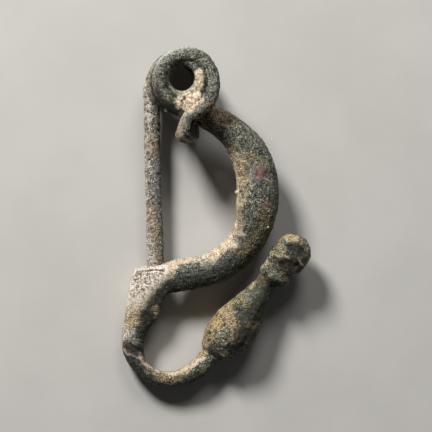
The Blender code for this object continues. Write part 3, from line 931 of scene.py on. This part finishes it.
def bare_patina(m, speck, fleck):
    """Grey-green patina, mottled at three sizes, with streaks, olive blooms, a painted highlight on the
    spring, and darkening that is partly dark patina and partly painted shade.
    """
    streak = m.field("streak")
    base = m.pair(m.span(m.grain(1.5, 4.0), 0.42, 0.60), "patina")
    base = m.over(base, m.times(m.span(m.grain(0.55, 2.0), 0.52, 0.64), 0.6), "dark patch")
    grainy = m.span(m.grain(0.9, 3.0), 0.40, 0.58, 0.35, 1.0)
    grainy = m.math("SUBTRACT", grainy, m.field("smooth", 0.9))
    base = m.over(base, m.times(m.span(speck, 0.52, 0.62), grainy), "speck")
    base = m.over(base, m.times(m.span(fleck, 0.52, 0.60), m.math("ADD", grainy, 0.3)), "fleck")
    base = m.over(base, m.times(m.span(streak, 0.58, 0.85), 0.40), "pale streak")
    base = m.over(base, m.times(m.span(streak, 0.42, 0.15), 0.55), "dark streak")
    # Painted highlight, grainy, on the spring's top and on the rim of its hole.
    base = m.over(base, m.times(m.field("painted_spring_highlight"), m.span(m.grain(0.3), 0.36, 0.56, 0.2, 0.75)), "painted_spring_highlight")
    # Olive and ochre blooms on the bulb and in patches elsewhere.
    bloom = m.times(m.span(m.grain(2.4, 4.0), 0.54, 0.68), 0.4)
    on_end = m.times(m.field("end"), m.span(m.grain(2.0, 5.0), 0.44, 0.58))
    bloom = m.times(m.math("MAXIMUM", bloom, on_end), m.rest(m.field("coil", 0.8)))
    in_places = m.times(m.field("olive"), m.span(m.grain(0.7, 3.0), 0.34, 0.54))
    bloom = m.times(m.math("MAXIMUM", bloom, in_places), m.rest(m.field("smooth", 0.8)))
    base = m.mix(m.times(bloom, 0.8), base, m.pair(m.span(speck, 0.46, 0.62), "olive"))
    # Darkening that is partly dark patina and partly painted shade.
    return m.over(base, m.field("deep", 0.86), "deep")


def soil_colour(m, speck, fleck):
    """Tan soil, paler on the catch and the lower bow and pinker on the pin."""
    shade = m.span(m.grain(0.6, 3.0), 0.38, 0.62)
    soil = m.pair(shade, "soil")
    soil = m.mix(m.field("end"), soil, m.pair(shade, "soil of the end"))
    soil = m.mix(m.field("pale"), soil, m.pair(shade, "pale soil"))
    soil = m.mix(m.field("pin"), soil, m.pair(shade, "soil of the pin"))
    soil = m.mix(m.field("ash"), soil, m.pair(shade, "ash"))
    soil = m.over(soil, m.times(m.span(m.field("streak"), 0.45, 0.20), 0.35), "streak in soil")
    soil = m.over(soil, m.field("lit"), "lit ridge")
    soil = m.over(soil, m.times(m.span(fleck, 0.53, 0.61), 0.85), "fleck in soil")
    bright = m.times(m.span(speck, 0.55, 0.64), m.rest(m.field("end", 0.35)))
    return m.over(soil, bright, "speck in soil")


def patina():
    """Corroded bronze with soil, crust, stains and pits, painted shade in hollows and recesses and
    painted highlights, from the fields of the mesh and fine noise.
    """
    m = Nodes("patinated_bronze")
    speck = m.grain(0.155, 2.0)
    fleck = m.grain(0.20, 2.0)
    base = m.mix(m.field("soil"), bare_patina(m, speck, fleck), soil_colour(m, speck, fleck))
    base = m.mix(m.field("crust"), base, m.pair(m.span(m.grain(0.32, 3.0), 0.42, 0.58), "crust"))
    # Brown strokes and specks on the whitish catch, and coarse specks on the pin.
    white = m.pair(m.span(m.grain(0.5, 3.0), 0.38, 0.60), "white")
    base = m.mix(m.times(m.field("pitted"), m.field("soil")), base, white)
    marks = m.math("ADD", m.field("pitted", 0.85), m.field("crust", 0.55))
    base = m.over(base, m.times(m.span(m.grain(0.24, 2.0), 0.49, 0.58), marks), "brown mark")
    on_pin = m.times(m.span(m.grain(0.26), 0.54, 0.62), m.field("pin", 0.75))
    base = m.over(base, on_pin, "fleck on the pin")
    on_pin = m.times(m.span(m.grain(0.21), 0.57, 0.65), m.field("pin", 0.8))
    base = m.over(base, on_pin, "speck on the pin")
    # Pale grains and lips, and painted highlights.
    base = m.over(base, m.field("grit_and_highlights"), "grit_and_highlights")
    # Cuprite with a bluish halo, rust-brown stains, painted shade in recesses, pits and creases, and a
    # painted highlight on crests.
    base = m.over(base, m.field("halo", 0.45), "halo")
    cuprite = m.pair(m.span(m.grain(0.6), 0.4, 0.6), "cuprite")
    base = m.mix(m.times(m.field("red"), m.span(m.grain(0.5), 0.36, 0.58, 0.65, 0.95)), base, cuprite)
    rust = m.pair(m.span(speck, 0.42, 0.60), "rust")
    base = m.mix(m.times(m.field("rust"), m.span(m.grain(0.5), 0.36, 0.58, 0.3, 0.95)), base, rust)
    # Painted shade in recesses and seams.
    base = m.over(base, m.field("dark", 0.8), "painted shade in recesses")
    # Painted highlight on crests.
    base = m.over(base, m.field("painted_crest_highlight", 0.35), "painted_crest_highlight")
    # Painted shade in pits and creases.
    base = m.over(base, m.field("hollow", 0.9), "painted shade in hollows")
    m.link(base, m.shader.inputs["Base Color"])
    m.link(m.span(m.grain(0.4), 0.35, 0.65, 0.55, 0.9), m.shader.inputs["Roughness"])
    m.shader.inputs["Specular IOR Level"].default_value = 0.45
    bump = m.tree.nodes.new("ShaderNodeBump")
    bump.inputs["Strength"].default_value = 0.9
    bump.inputs["Distance"].default_value = 0.15 / PER_METRE
    m.link(m.grain(0.19, 3.0), bump.inputs["Height"])
    m.link(bump.outputs["Normal"], m.shader.inputs["Normal"])
    return m.material


def floor_material():
    m = Nodes("pale_floor")
    m.link(m.pair(m.span(m.grain(14.0), 0.3, 0.7), "floor"), m.shader.inputs["Base Color"])
    m.shader.inputs["Roughness"].default_value = 0.9
    m.shader.inputs["Specular IOR Level"].default_value = 0.2
    return m.material


# --- Scene ------------------------------------------------------------------


def own_direction(x, y, z):
    """A direction of the own frame, in the row frame."""
    return (LIE.to_3x3() @ Vector((x, y, z))).normalized()


def add_light(name, direction, distance, size, power, colour):
    """A round lamp that shines at the middle of the brooch."""
    data = bpy.data.lights.new(name, "AREA")
    data.shape = "DISK"
    data.size = size
    data.energy = power
    data.color = colour
    lamp = bpy.data.objects.new(name, data)
    bpy.context.scene.collection.objects.link(lamp)
    lamp.location = own_direction(*direction) * distance
    lamp.rotation_euler = own_direction(*direction).to_track_quat("Z", "Y").to_euler()


def add_world():
    """Even, faint light from all round."""
    world = bpy.data.worlds.new("studio")
    world.use_nodes = True
    background = world.node_tree.nodes["Background"]
    background.inputs["Color"].default_value = WORLD_COLOUR
    background.inputs["Strength"].default_value = WORLD_STRENGTH
    bpy.context.scene.world = world
    bpy.context.scene.view_settings.view_transform = "Standard"


def add_camera():
    """Camera at the photograph's viewing angle, set in the own frame."""
    left, up = math.radians(VIEW_LEFT), math.radians(VIEW_UP)
    back = Vector((-math.sin(left) * math.cos(up), math.sin(up), math.cos(left) * math.cos(up)))
    right = Vector((0.0, 1.0, 0.0)).cross(back).normalized()
    top = back.cross(right)
    axes = Matrix((right, top, back)).transposed().to_4x4()
    data = bpy.data.cameras.new("camera")
    data.sensor_width = SENSOR_WIDTH
    data.lens = SENSOR_WIDTH * VIEW_DISTANCE / VIEW_WIDTH
    data.clip_start = 0.01
    data.clip_end = 10.0
    camera = bpy.data.objects.new("camera", data)
    bpy.context.scene.collection.objects.link(camera)
    camera.matrix_world = LIE @ Matrix.Translation(back * VIEW_DISTANCE / PER_METRE) @ axes
    bpy.context.scene.camera = camera


def add_floor():
    mesh = bpy.data.meshes.new("floor")
    corners = [(x * FLOOR_HALF, y * FLOOR_HALF, 0) for x, y in ((-1, -1), (1, -1), (1, 1), (-1, 1))]
    mesh.from_pydata(corners, [], [(0, 1, 2, 3)])
    mesh.materials.append(floor_material())
    floor = bpy.data.objects.new("floor", mesh)
    bpy.context.scene.collection.objects.link(floor)


def main():
    skin = make_skin(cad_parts["fibula"])
    paint(skin.data)
    set_points(skin.data, in_row_frame(points(skin.data)))
    skin.data.shade_smooth()
    skin.data.materials.clear()
    skin.data.materials.append(patina())
    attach(skin, "root")
    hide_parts("fibula")

    add_floor()
    add_camera()
    for name, settings in LIGHTS.items():
        add_light(name, *settings)
    add_world()


main()
